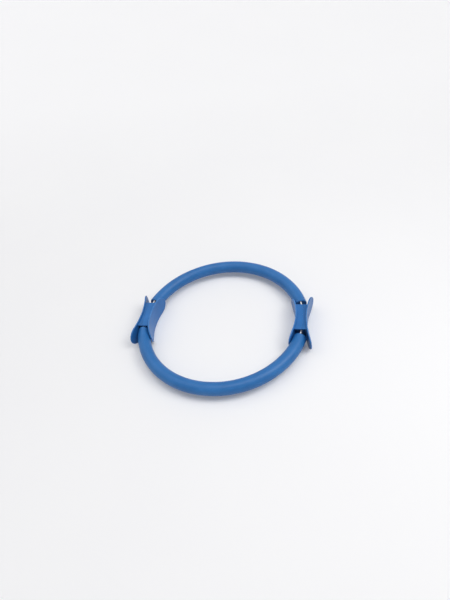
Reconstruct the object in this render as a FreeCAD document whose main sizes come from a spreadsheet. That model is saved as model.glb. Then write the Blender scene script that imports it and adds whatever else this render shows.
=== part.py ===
import FreeCAD, Part
import enum
import math
import os
import Sketcher

# Driving sizes in millimetres: name, value, meaning
DRIVING_SIZES = (
    ("ring_radius", "173", "ring centre to the middle of the spring bands"),
    ("sleeve_diameter", "27", "outside of the foam sleeve"),
    ("sleeve_neck_diameter", "24", "outside of the sleeve where the pads draw it in"),
    ("sleeve_bore_clearance", "0.3", "sleeve's slot to the band in it"),
    ("front_left_gap", "-2", "handle block to the front sleeve, left end, which reaches into the block"),
    ("front_right_gap", "4", "handle block to the front sleeve, right end"),
    ("rear_left_gap", "11", "handle block to the rear sleeve, left end"),
    ("rear_right_gap", "12", "handle block to the rear sleeve, right end"),
    ("band_thickness", "2.1", "spring band, across the hoop"),
    ("band_height", "20", "spring band, along the hoop's axis"),
    ("band_clearance", "0.15", "band to the walls of its slot"),
    ("band_corner_radius", "3", "rounded corners at the band's ends"),
    ("band_end_clearance", "0.3", "band end to the stop between the bands"),
    ("stop_width", "3", "stop wall that keeps the two bands apart"),
    ("inner_pad_length", "116", "grip pad on the ring's inside, along the hoop"),
    ("outer_pad_length", "130", "grip pad on the ring's outside, along the hoop"),
    ("pad_height", "44", "grip pad, floor to top edge"),
    ("pad_thickness", "2.8", "grip pad wall"),
    ("pad_crown", "0.6", "bulge of the pad across its height"),
    ("pad_edge_radius", "1", "rounded rim of the pad"),
    ("pad_clearance", "0.5", "pad to the foam sleeve"),
    ("inner_pad_bow", "12.2", "hollow of the inner pad along its length"),
    ("outer_pad_bow", "11.5", "hollow of the outer pad along its length"),
    ("block_length", "68", "block between the pads, along the hoop"),
    ("block_setback", "3.5", "pad's long edge to the top of the block"),
    ("block_edge_radius", "0.8", "rounded ends of the block"),
    ("parting_gap", "0.2", "seam between the inner and the outer half handle"),
    ("core_wall", "2.5", "walls above and below the hollows of the block"),
    ("screw_spacing", "36", "between the two screws of a handle"),
    ("screw_diameter", "3.5", "screw shank"),
    ("screw_head_diameter", "7", "screw head"),
    ("screw_head_height", "2.4", "screw head"),
    ("screw_point_length", "2.5", "tapered end of the screw"),
    ("screw_drive_width", "1.1", "arms of the cross recess"),
    ("screw_drive_length", "4.2", "arms of the cross recess"),
    ("screw_drive_depth", "1.4", "cross recess"),
    ("screw_cover", "3", "plastic left under the screw's point"),
    ("screw_fit", "0.05", "screw shank to its pilot hole"),
    ("screw_hole_clearance", "0.3", "screw shank to its through holes"),
    ("screw_point_clearance", "0.5", "screw point to the bottom of its pilot hole"),
    ("head_clearance", "0.4", "screw head to its counterbore"),
    ("head_recess", "2", "screw head below the pad's face"),
    ("boss_width", "9", "solid round each screw"),
)

# How far a cutting profile reaches past what it cuts
OVERRUN = 6.0

# Sizes worked out from the driving ones: name, formula, meaning
DERIVED_SIZES = (
    ("mid_height", "=pad_height / 2", "ring plane above the floor"),
    ("inner_pad_half", "=inner_pad_length / 2", "inner pad, middle to tip"),
    ("outer_pad_half", "=outer_pad_length / 2", "outer pad, middle to tip"),
    ("block_half", "=block_length / 2", "block middle to end"),
    ("block_height", "=pad_height - 2 * block_setback", "block, along the hoop's axis"),
    ("tube_radius", "=sleeve_diameter / 2", "sleeve outside"),
    ("neck_radius", "=sleeve_neck_diameter / 2", "sleeve end outside"),
    ("neck_middle_radius", "=(tube_radius + neck_radius) / 2", "halfway along the neck"),
    ("tube_inside", "=ring_radius - tube_radius", "ring centre to the sleeve"),
    ("neck_inside", "=ring_radius - neck_radius", "ring centre to the sleeve's end"),
    ("tip_angle", "=asin(inner_pad_half / tube_inside)", "handle axis to where the sleeve narrows"),
    ("sleeve_sweep", "=180 deg - 2 * tip_angle", "full round length of a sleeve"),
    ("neck_start_turn", "=90 deg - tip_angle", "sleeve middle to its neck"),
    ("band_inside", "=ring_radius - band_thickness / 2", "ring centre to the band"),
    ("band_outside", "=ring_radius + band_thickness / 2", "ring centre to the band's outside"),
    ("band_top", "=band_height / 2", "ring plane to the band's edge"),
    ("bore_inside", "=band_inside - sleeve_bore_clearance", "ring centre to the sleeve's slot"),
    ("bore_outside", "=band_outside + sleeve_bore_clearance", "ring centre to the slot's outside"),
    ("bore_top", "=band_top + sleeve_bore_clearance", "ring plane to the slot's top"),
    ("bore_sweep", "=180 deg", "slot, from handle to handle"),
    ("stop_half", "=stop_width / 2", "stop wall, either side of the handle axis"),
    ("band_sweep", "=180 deg - 2 * asin((stop_half + band_end_clearance) / band_inside)",
        "band, stop to stop"),
    ("slot_inside", "=band_inside - band_clearance", "ring centre to the slot"),
    ("slot_outside", "=band_outside + band_clearance", "ring centre to the slot's outside"),
    ("slot_height", "=band_height + 2 * band_clearance", "slot, along the hoop's axis"),
    ("cutter_inside", f"=ring_radius - {OVERRUN}", "cutters, inside of the seam"),
    ("cutter_outside", f"=ring_radius + {OVERRUN}", "cutters, outside of the seam"),
    ("slot_end", f"=block_half + {OVERRUN}", "slot cutter, past the block's end"),
    ("seam_inside", "=ring_radius - parting_gap / 2", "inner half handle's seam face"),
    ("seam_outside", "=ring_radius + parting_gap / 2", "outer half handle's seam face"),
    ("crown_radius", "=(mid_height ^ 2 + pad_crown ^ 2) / (2 * pad_crown)", "pad face across its height"),
    ("crown_back_radius", "=crown_radius - pad_thickness", "pad back across its height"),
    ("crown_middle_radius", "=crown_radius - pad_thickness / 2", "middle of the pad's wall"),
    ("core_height", "=block_height - 2 * core_wall", "hollows of the block"),
    ("core_crown", "=crown_back_radius - sqrt(crown_back_radius ^ 2 - (core_height / 2) ^ 2)",
        "hollow of a pad's back over that height"),
    ("core_skin", "=pad_thickness + core_crown + pad_edge_radius", "pad's face to the floor of the hollows"),
    ("least_gap", "=min(front_left_gap; front_right_gap; rear_left_gap; rear_right_gap)",
        "nearest sleeve end"),
    ("corner_angle", "=asin((block_half + least_gap) / neck_inside)", "handle axis to that end"),
    ("neck_outside", "=ring_radius + neck_radius", "ring centre to the sleeve's end, far side"),
    ("inner_corner_x", "=neck_inside * cos(corner_angle)", "inner corner of that end"),
    ("inner_corner_y", "=neck_inside * sin(corner_angle)", "inner corner of that end"),
    ("outer_corner_x", "=neck_outside * cos(corner_angle)", "outer corner of that end"),
    ("outer_corner_y", "=neck_outside * sin(corner_angle)", "outer corner of that end"),
    ("inner_tip_x", "=sqrt((tube_inside - pad_clearance) ^ 2 - inner_pad_half ^ 2)",
        "inner pad's back where its tip would meet the sleeve"),
    ("inner_face", "=(inner_pad_half ^ 2 + inner_pad_bow ^ 2) / (2 * inner_pad_bow)",
        "bow of the inner pad's face"),
    ("inner_back", "=inner_face + pad_thickness", "bow of the inner pad's back"),
    ("inner_core_floor", "=inner_face + core_skin", "bow axis to the floor of the inner half's hollows"),
    ("inner_bow_x", "=min(inner_tip_x - sqrt(inner_back ^ 2 - inner_pad_half ^ 2);"
        " inner_corner_x - pad_clearance - sqrt(inner_core_floor ^ 2 - inner_corner_y ^ 2))",
        "axis that the inner pad bows about"),
    ("inner_crown_x", "=inner_face + crown_radius", "centre of the inner pad's crown"),
    ("inner_sweep", f"=2 * asin((inner_pad_half + {OVERRUN}) / inner_face)",
        "inner pad before its outline is cut"),
    ("outer_face", "=(outer_pad_half ^ 2 + outer_pad_bow ^ 2) / (2 * outer_pad_bow)",
        "bow of the outer pad's face"),
    ("outer_bow_x", "=outer_corner_x + pad_clearance"
        " + sqrt((outer_face + pad_thickness) ^ 2 - outer_corner_y ^ 2)",
        "axis that the outer pad bows about"),
    ("outer_crown_x", "=outer_face + crown_radius", "centre of the outer pad's crown"),
    ("outer_sweep", f"=2 * asin((outer_pad_half + {OVERRUN}) / outer_face)",
        "outer pad before its outline is cut"),
    ("pad_blank", f"=mid_height + {OVERRUN} / 2", "half height of the pad before its outline is cut"),
    ("outline_half_length", f"=max(inner_pad_half; outer_pad_half) + 2 * {OVERRUN}", "outline cutter"),
    ("outline_half_height", f"=mid_height + 2 * {OVERRUN}", "outline cutter"),
    ("inner_outline", "=inner_pad_half - mid_height", "centre of the inner pad's round end"),
    ("outer_outline", "=outer_pad_half - mid_height", "centre of the outer pad's round end"),
    ("trim_half_height", f"=block_height / 2 + {OVERRUN} / 2", "cutter that ends the block in the pad"),
    ("block_start", f"=inner_bow_x + sqrt(inner_face ^ 2 - block_half ^ 2) - {OVERRUN}",
        "near end of the block before the pad ends it"),
    ("block_stop", f"=outer_bow_x - sqrt(outer_face ^ 2 - block_half ^ 2) + {OVERRUN}",
        "far end of the block before the pad ends it"),
    ("inner_trim", f"=block_start - inner_bow_x - {OVERRUN}", "near side of the inner half's cutter"),
    ("outer_trim", f"=outer_bow_x - block_stop - {OVERRUN}", "near side of the outer half's cutter"),
    ("trim_sweep", f"=2 * asin((block_half + {OVERRUN}) / (inner_trim + {OVERRUN}))", "both cutters"),
    ("screw_y", "=screw_spacing / 2", "handle axis to a screw"),
    ("screw_seat_x", "=outer_bow_x - sqrt(outer_face ^ 2 - screw_y ^ 2) - head_recess - screw_head_height",
        "under a screw's head"),
    ("pilot_end_x", "=inner_bow_x + sqrt(inner_face ^ 2 - screw_y ^ 2) + screw_cover",
        "bottom of a pilot hole"),
    ("screw_length", "=screw_seat_x - pilot_end_x - screw_point_clearance", "under the head to the point"),
    ("shank_end", "=screw_length - screw_point_length", "under the head to the taper"),
    ("shank_radius", "=screw_diameter / 2", "screw shank"),
    ("point_radius", "=screw_diameter / 8", "blunt point"),
    ("head_radius", "=screw_head_diameter / 2", "screw head"),
    ("head_rim", "=screw_head_height / 2", "straight part of the head"),
    ("head_top_radius", "=head_radius - head_rim", "flat top of the head"),
    ("pilot_radius", "=shank_radius + screw_fit", "pilot hole"),
    ("hole_radius", "=shank_radius + screw_hole_clearance", "through hole"),
    ("counterbore_radius", "=head_radius + head_clearance", "counterbore"),
    ("drive_half_width", "=screw_drive_width / 2", "cross recess"),
    ("drive_half_length", "=screw_drive_length / 2", "cross recess"),
    ("inner_core_reach", f"=inner_core_floor + 4 * {OVERRUN}", "cutter for them, past the seam"),
    ("outer_core_floor", "=outer_face + core_skin", "bow axis to the floor of the outer half's hollows"),
    ("outer_core_reach", f"=outer_core_floor + 4 * {OVERRUN}", "cutter for them, past the seam"),
    ("boss_near", "=screw_y - boss_width / 2", "solid round a screw, near side"),
    ("boss_far", "=screw_y + boss_width / 2", "solid round a screw, far side"),
)

# Where each end of the two sleeves lies, as turns from the sleeve's middle
SLEEVE_ENDS = ("front_left", "front_right", "rear_left", "rear_right")
END_SIZES = tuple(
    row
    for end in SLEEVE_ENDS
    for row in (
        (f"{end}_turn", f"=90 deg - asin((block_half + {end}_gap) / neck_inside)", "to the end"),
        (f"{end}_turn_middle", f"=(neck_start_turn + {end}_turn) / 2", "to halfway along its neck"),
    )
)

SHEET_NAME = "Sizes"
HALF_TURN = 180.0
TINY = 1e-4
INNER = "inner"
OUTER = "outer"


class Own(enum.IntEnum):
    """What a sketch calls its own origin and axes."""

    ORIGIN = -1
    H_AXIS = -1
    V_AXIS = -2


class At(enum.IntEnum):
    """What a sketch calls the points of an edge."""

    START = 1
    END = 2
    CENTRE = 3


doc = FreeCAD.newDocument("PilatesRing")
sheet = doc.addObject("Spreadsheet::Sheet", SHEET_NAME)
for row, (alias, content, meaning) in enumerate(DRIVING_SIZES + DERIVED_SIZES + END_SIZES, start=1):
    sheet.set(f"A{row}", meaning)
    sheet.set(f"B{row}", content)
    sheet.setAlias(f"B{row}", alias)
doc.recompute()


def size(alias):
    """Number held by one cell of the sheet."""
    held = getattr(sheet, alias)
    return float(getattr(held, "Value", held))


def cell(alias):
    """Expression that reads one cell of the sheet."""
    return f"{SHEET_NAME}.{alias}"


# Helpers for bodies, sketches and their constraints


def new_body(label, turn=0.0):
    """Body lifted to the ring plane and turned about the ring's axis."""
    body = doc.addObject("PartDesign::Body", label)
    body.Label = label
    body.Placement = FreeCAD.Placement(
        FreeCAD.Vector(0, 0, size("mid_height")),
        FreeCAD.Rotation(FreeCAD.Vector(0, 0, 1), turn),
    )
    body.setExpression("Placement.Base.z", cell("mid_height"))
    return body


def new_sketch(body, name, role):
    """Sketch on one of the body's own origin planes."""
    sketch = body.newObject("Sketcher::SketchObject", name)
    plane = next(feature for feature in body.Origin.OriginFeatures if feature.Role == role)
    sketch.AttachmentSupport = (plane, "")
    sketch.MapMode = "FlatFace"
    return sketch


def new_feature(body, kind, name, sketch):
    """Feature made from a sketch."""
    feature = body.newObject(f"PartDesign::{kind}", name)
    feature.Profile = sketch
    return feature


def drive(sketch, kind, references, alias):
    """Dimension of a sketch that follows one cell."""
    index = sketch.addConstraint(Sketcher.Constraint(kind, *references, size(alias)))
    sketch.setExpression(f"Constraints[{index}]", cell(alias))


def place_x(sketch, geometry, point, alias, side=1):
    """Sideways distance of a point from the sketch's origin."""
    points = (Own.ORIGIN, At.START, geometry, point) if side > 0 else (geometry, point, Own.ORIGIN, At.START)
    drive(sketch, "DistanceX", points, alias)


def place_y(sketch, geometry, point, alias, side=1):
    """Upward distance of a point from the sketch's origin."""
    points = (Own.ORIGIN, At.START, geometry, point) if side > 0 else (geometry, point, Own.ORIGIN, At.START)
    drive(sketch, "DistanceY", points, alias)


def join(sketch, first, first_point, second, second_point):
    """Two ends held together."""
    sketch.addConstraint(Sketcher.Constraint("Coincident", first, first_point, second, second_point))


def point(x, y):
    """Point of a sketch."""
    return FreeCAD.Vector(x, y, 0)


def add_line(sketch, start, end):
    """Straight edge."""
    return sketch.addGeometry(Part.LineSegment(start, end))


def add_polygon(sketch, corners):
    """Straight edges from corner to corner and back to the first."""
    following = corners[1:] + corners[:1]
    lines = [add_line(sketch, start, end) for start, end in zip(corners, following)]
    for line, next_line in zip(lines, lines[1:] + lines[:1]):
        join(sketch, line, At.END, next_line, At.START)
    return lines


def make_level(sketch, *lines):
    """Straight edges held level."""
    for line in lines:
        sketch.addConstraint(Sketcher.Constraint("Horizontal", line))


def make_upright(sketch, *lines):
    """Straight edges held upright."""
    for line in lines:
        sketch.addConstraint(Sketcher.Constraint("Vertical", line))


def add_arc(sketch, centre, radius, start, end):
    """Round edge that runs anticlockwise from one point to the other."""
    circle = Part.Circle(centre, FreeCAD.Vector(0, 0, 1), radius)
    from_angle = math.atan2(start.y - centre.y, start.x - centre.x)
    to_angle = math.atan2(end.y - centre.y, end.x - centre.x)
    if to_angle <= from_angle:
        to_angle += 2 * math.pi
    return sketch.addGeometry(Part.ArcOfCircle(circle, from_angle, to_angle))


def add_circle(sketch, x_alias, radius_alias, side=1):
    """Circle whose centre lies on the sketch's level axis."""
    centre = point(side * size(x_alias), 0)
    circle = sketch.addGeometry(Part.Circle(centre, FreeCAD.Vector(0, 0, 1), size(radius_alias)))
    sketch.addConstraint(Sketcher.Constraint("PointOnObject", circle, At.CENTRE, Own.H_AXIS))
    place_x(sketch, circle, At.CENTRE, x_alias, side)
    drive(sketch, "Radius", (circle,), radius_alias)


def add_rectangle(sketch, left, right, low, high):
    """Rectangle between four (cell, side) distances from the sketch's origin."""
    x_left, x_right, y_low, y_high = (side * size(alias) for alias, side in (left, right, low, high))
    corners = (point(x_left, y_low), point(x_right, y_low), point(x_right, y_high), point(x_left, y_high))
    bottom, far, top, near = add_polygon(sketch, corners)
    make_level(sketch, bottom, top)
    make_upright(sketch, far, near)
    place_x(sketch, near, At.START, *left)
    place_x(sketch, far, At.START, *right)
    place_y(sketch, bottom, At.START, *low)
    place_y(sketch, top, At.START, *high)


def add_sector(sketch, inside, outside, near, far, side, axis=None, facing=1):
    """Piece of a flat hoop between two level lines, about the origin or an axis beside it."""
    centre = point(0 if axis is None else size(axis), 0)
    low_level, high_level = sorted((side * size(near), side * size(far)))

    def on_arc(alias, y):
        return point(centre.x + facing * math.sqrt(size(alias) ** 2 - y * y), y)

    low = add_line(sketch, on_arc(inside, low_level), on_arc(outside, low_level))
    high = add_line(sketch, on_arc(outside, high_level), on_arc(inside, high_level))
    make_level(sketch, low, high)
    first, last = (low_level, high_level) if facing > 0 else (high_level, low_level)
    at_low, at_high = (At.START, At.END) if facing > 0 else (At.END, At.START)
    for alias, low_end, high_end in ((inside, At.START, At.END), (outside, At.END, At.START)):
        arc = add_arc(sketch, centre, size(alias), on_arc(alias, first), on_arc(alias, last))
        join(sketch, low, low_end, arc, at_low)
        join(sketch, high, high_end, arc, at_high)
        if axis is None:
            join(sketch, arc, At.CENTRE, Own.ORIGIN, At.START)
        else:
            sketch.addConstraint(Sketcher.Constraint("PointOnObject", arc, At.CENTRE, Own.H_AXIS))
            place_x(sketch, arc, At.CENTRE, axis)
        drive(sketch, "Radius", (arc,), alias)
    place_y(sketch, low, At.START, near if side > 0 else far, side)
    place_y(sketch, high, At.START, far if side > 0 else near, side)


def symmetric_cut(body, name, sketch, alias=None):
    """Pocket to both sides of its sketch, through everything if it has no length."""
    pocket = new_feature(body, "Pocket", name, sketch)
    pocket.SideType = "Symmetric"
    if alias is None:
        pocket.Type = "ThroughAll"
    else:
        pocket.setExpression("Length", cell(alias))
    return pocket


def turned(body, kind, name, sketch, alias, axis="V_Axis"):
    """Revolution or groove to both sides of its sketch."""
    feature = new_feature(body, kind, name, sketch)
    feature.ReferenceAxis = (sketch, [axis])
    feature.Midplane = True
    feature.setExpression("Angle", cell(alias))
    return feature


def rounded(body, name, base, chosen, alias):
    """Fillet of the chosen edges of the feature before it."""
    doc.recompute()
    names = [f"Edge{i}" for i, edge in enumerate(base.Shape.Edges, start=1) if chosen(edge)]
    fillet = body.newObject("PartDesign::Fillet", name)
    fillet.Base = (base, names)
    fillet.setExpression("Radius", cell(alias))
    return fillet


def samples(edge):
    """Three points along an edge."""
    first, last = edge.ParameterRange
    return [edge.valueAt(first + (last - first) * share) for share in (0.0, 0.5, 1.0)]


# Foam sleeves: a tube that closes round its band, drawn in at both ends where the pads hold it


def ring_section(body, name, radius_alias, turn_alias=None, side=1):
    """Round section of the hoop, at the middle of a sleeve or turned towards one end."""
    sketch = new_sketch(body, name, "YZ_Plane")
    add_circle(sketch, "ring_radius", radius_alias)
    if turn_alias is not None:
        axis = FreeCAD.Vector(0, side, 0)
        turn = FreeCAD.Rotation(axis, size(turn_alias))
        sketch.AttachmentOffset = FreeCAD.Placement(FreeCAD.Vector(0, 0, 0), turn)
        sketch.setExpression("AttachmentOffset.Rotation.Angle", cell(turn_alias))
    return sketch


def foam_sleeve(label, turn, left_turn, right_turn):
    """Half of the hoop's cover, built over the rear half and turned into place."""
    body = new_body(label, turn)
    section = ring_section(body, f"{label}_section", "tube_radius")
    turned(body, "Revolution", f"{label}_tube", section, "sleeve_sweep")
    for name, side, end_turn in (("left", 1, left_turn), ("right", -1, right_turn)):
        middle_turn = f"{end_turn}_middle"
        start = ring_section(body, f"{label}_{name}_start", "tube_radius", "neck_start_turn", side)
        middle = ring_section(body, f"{label}_{name}_middle", "neck_middle_radius", middle_turn, side)
        end = ring_section(body, f"{label}_{name}_end", "neck_radius", end_turn, side)
        neck = new_feature(body, "AdditiveLoft", f"{label}_{name}_neck", start)
        neck.Sections = [middle, end]
    bore = new_sketch(body, f"{label}_bore_section", "YZ_Plane")
    add_rectangle(bore, ("bore_inside", 1), ("bore_outside", 1), ("bore_top", -1), ("bore_top", 1))
    turned(body, "Groove", f"{label}_bore", bore, "bore_sweep")
    return body


# Spring bands: flat strips on edge, with a screw hole near each end


def spring_band(label, turn):
    """Half hoop of glass-fibre strip, built over the rear half and turned into place."""
    body = new_body(label, turn)
    section = new_sketch(body, f"{label}_section", "YZ_Plane")
    add_rectangle(section, ("band_inside", 1), ("band_outside", 1), ("band_top", -1), ("band_top", 1))
    strip = turned(body, "Revolution", f"{label}_strip", section, "band_sweep")

    def at_end_corner(edge):
        level = all(abs(abs(p.z) - size("band_top")) < TINY for p in samples(edge))
        return level and edge.Length < 2 * size("band_thickness")

    rounded(body, f"{label}_corners", strip, at_end_corner, "band_corner_radius")
    holes = new_sketch(body, f"{label}_hole_circles", "YZ_Plane")
    add_circle(holes, "screw_y", "hole_radius")
    symmetric_cut(body, f"{label}_holes", holes)
    return body


# Half handles: a saddle-shaped pad with half of the block that holds the bands


def bow_sketch(body, name, which):
    """Upright sketch through the handle's middle whose origin is the pad's bow axis.

    Its level axis points from the bow axis to the pad, for the inner and the outer pad alike.
    """
    sketch = new_sketch(body, name, "XZ_Plane")
    axis_alias = f"{which}_bow_x"
    facing = FreeCAD.Rotation(FreeCAD.Vector(0, 1, 0), HALF_TURN if which == OUTER else 0.0)
    sketch.AttachmentOffset = FreeCAD.Placement(FreeCAD.Vector(size(axis_alias), 0, 0), facing)
    sketch.setExpression("AttachmentOffset.Base.x", cell(axis_alias))
    return sketch


def crown_arc(sketch, centre_alias, radius_alias, height_alias):
    """Arc across the pad's height, bulging towards the bow axis."""
    centre = point(size(centre_alias), 0)
    radius, height = size(radius_alias), size(height_alias)
    x = centre.x - math.sqrt(radius ** 2 - height ** 2)
    arc = add_arc(sketch, centre, radius, point(x, height), point(x, -height))
    sketch.addConstraint(Sketcher.Constraint("PointOnObject", arc, At.CENTRE, Own.H_AXIS))
    place_x(sketch, arc, At.CENTRE, centre_alias)
    drive(sketch, "Radius", (arc,), radius_alias)
    place_y(sketch, arc, At.START, height_alias)
    place_y(sketch, arc, At.END, height_alias, -1)
    return arc


def rim_distance(p, which):
    """Distance of a point from a pad's outline, seen along the handle's axis."""
    past_straight = max(0.0, abs(p.y) - size(f"{which}_outline"))
    return math.hypot(past_straight, p.z) - size("mid_height")


def add_pad(body, label, which):
    """Saddle-shaped wall: crowned across its height, hollow along its length, round at both ends."""
    sketch = bow_sketch(body, f"{label}_pad_section", which)
    crown_alias = f"{which}_crown_x"
    face = crown_arc(sketch, crown_alias, "crown_radius", "pad_blank")
    back = crown_arc(sketch, crown_alias, "crown_back_radius", "pad_blank")
    ends = [sketch.getPoint(arc, end) for end in (At.START, At.END) for arc in (face, back)]
    top = add_line(sketch, ends[0], ends[1])
    bottom = add_line(sketch, ends[2], ends[3])
    for line, end in ((top, At.START), (bottom, At.END)):
        join(sketch, line, At.START, face, end)
        join(sketch, line, At.END, back, end)
    turned(body, "Revolution", f"{label}_pad", sketch, f"{which}_sweep")

    outline = new_sketch(body, f"{label}_pad_outline", "YZ_Plane")
    length, height = "outline_half_length", "outline_half_height"
    add_rectangle(outline, (length, -1), (length, 1), (height, -1), (height, 1))
    centre, radius = size(f"{which}_outline"), size("mid_height")
    top = add_line(outline, point(centre, radius), point(-centre, radius))
    left = add_arc(outline, point(-centre, 0), radius, point(-centre, radius), point(-centre, -radius))
    bottom = add_line(outline, point(-centre, -radius), point(centre, -radius))
    right = add_arc(outline, point(centre, 0), radius, point(centre, -radius), point(centre, radius))
    for edge, next_edge in ((top, left), (left, bottom), (bottom, right), (right, top)):
        outline.addConstraint(Sketcher.Constraint("Tangent", edge, At.END, next_edge, At.START))
    for arc, side in ((left, -1), (right, 1)):
        outline.addConstraint(Sketcher.Constraint("PointOnObject", arc, At.CENTRE, Own.H_AXIS))
        place_x(outline, arc, At.CENTRE, f"{which}_outline", side)
    drive(outline, "Radius", (left,), "mid_height")
    make_level(outline, top)
    cut = symmetric_cut(body, f"{label}_pad_rim", outline)

    def on_rim(edge):
        ends = samples(edge)
        spread = max(abs(p.y - ends[0].y) + abs(p.z - ends[0].z) for p in ends)
        return spread > TINY and all(abs(rim_distance(p, which)) < TINY for p in ends)

    return rounded(body, f"{label}_rim_round", cut, on_rim, "pad_edge_radius")


def add_block(body, label, which):
    """Half of the block: a prism from the seam to the middle of the pad's wall."""
    sketch = new_sketch(body, f"{label}_block_plan", "XY_Plane")
    half = size("block_half")
    seam_alias = "seam_outside" if which == OUTER else "seam_inside"
    blank_alias = "block_stop" if which == OUTER else "block_start"
    seam, blank = size(seam_alias), size(blank_alias)
    seam_x = math.sqrt(seam ** 2 - half ** 2)
    low = add_line(sketch, point(blank, -half), point(seam_x, -half))
    arc = add_arc(sketch, point(0, 0), seam, point(seam_x, -half), point(seam_x, half))
    high = add_line(sketch, point(seam_x, half), point(blank, half))
    side = add_line(sketch, point(blank, half), point(blank, -half))
    join(sketch, low, At.END, arc, At.START)
    join(sketch, arc, At.END, high, At.START)
    join(sketch, high, At.END, side, At.START)
    join(sketch, side, At.END, low, At.START)
    join(sketch, arc, At.CENTRE, Own.ORIGIN, At.START)
    make_level(sketch, low, high)
    make_upright(sketch, side)
    place_x(sketch, side, At.START, blank_alias)
    place_y(sketch, side, At.START, "block_half")
    place_y(sketch, side, At.END, "block_half", -1)
    drive(sketch, "Radius", (arc,), seam_alias)
    block = new_feature(body, "Pad", f"{label}_block", sketch)
    block.SideType = "Symmetric"
    block.setExpression("Length", cell("block_height"))

    def across_end(edge):
        ends = samples(edge)
        return abs(ends[0].x - ends[2].x) > TINY and all(abs(abs(p.y) - half) < TINY for p in ends)

    rounded(body, f"{label}_block_round", block, across_end, "block_edge_radius")

    trim = bow_sketch(body, f"{label}_trim_section", which)
    near_alias = f"{which}_trim"
    wall = crown_arc(trim, f"{which}_crown_x", "crown_middle_radius", "trim_half_height")
    upper, lower = trim.getPoint(wall, At.START), trim.getPoint(wall, At.END)
    near = size(near_alias)
    top = add_line(trim, upper, point(near, upper.y))
    side = add_line(trim, point(near, upper.y), point(near, lower.y))
    bottom = add_line(trim, point(near, lower.y), lower)
    join(trim, top, At.START, wall, At.START)
    join(trim, top, At.END, side, At.START)
    join(trim, side, At.END, bottom, At.START)
    join(trim, bottom, At.END, wall, At.END)
    make_level(trim, top, bottom)
    make_upright(trim, side)
    place_x(trim, side, At.START, near_alias)
    turned(body, "Groove", f"{label}_trim", trim, "trim_sweep")


def cut_band_slot(body, label, inside, outside):
    """Slot for both bands, with the stop left between their ends."""
    sketch = new_sketch(body, f"{label}_slot_plan", "XY_Plane")
    for side in (1, -1):
        add_sector(sketch, inside, outside, "stop_half", "slot_end", side)
    symmetric_cut(body, f"{label}_slot", sketch, "slot_height")


def cut_cores(body, label, which, spans):
    """Hollows from the seam to the pad, between (near, far) distances from the handle's middle."""
    sketch = new_sketch(body, f"{label}_core_plan", "XY_Plane")
    facing = -1 if which == OUTER else 1
    floor, reach, axis = f"{which}_core_floor", f"{which}_core_reach", f"{which}_bow_x"
    for near, far in spans:
        for side in (1, -1):
            add_sector(sketch, floor, reach, near, far, side, axis, facing)
    symmetric_cut(body, f"{label}_cores", sketch, "core_height")


def cut_along_handle(body, label, radius_alias, from_alias):
    """Two round holes from a level in the handle outwards."""
    sketch = new_sketch(body, f"{label}_circles", "YZ_Plane")
    sketch.AttachmentOffset = FreeCAD.Placement(FreeCAD.Vector(0, 0, size(from_alias)), FreeCAD.Rotation())
    sketch.setExpression("AttachmentOffset.Base.z", cell(from_alias))
    for side in (1, -1):
        add_circle(sketch, "screw_y", radius_alias, side)
    pocket = new_feature(body, "Pocket", label, sketch)
    pocket.Reversed = True
    pocket.Type = "ThroughAll"


def inner_grip(label, turn):
    """Half handle on the ring's inside, hollowed from its seam, with two blind pilot holes."""
    body = new_body(label, turn)
    add_block(body, label, INNER)
    add_pad(body, label, INNER)
    cut_cores(body, label, INNER, (("stop_half", "boss_near"), ("boss_far", "slot_end")))
    cut_band_slot(body, label, "slot_inside", "cutter_outside")
    cut_along_handle(body, f"{label}_pilots", "pilot_radius", "pilot_end_x")
    return body


def outer_grip(label, turn):
    """Half handle on the ring's outside, open at both ends, with two counterbored screw holes."""
    body = new_body(label, turn)
    add_block(body, label, OUTER)
    add_pad(body, label, OUTER)
    cut_cores(body, label, OUTER, (("boss_far", "slot_end"),))
    cut_band_slot(body, label, "cutter_inside", "slot_outside")
    cut_along_handle(body, f"{label}_holes", "hole_radius", "cutter_inside")
    cut_along_handle(body, f"{label}_counterbores", "counterbore_radius", "screw_seat_x")
    return body


# Clamp screws: pan head with a cross recess, plain shank, blunt point


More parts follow.
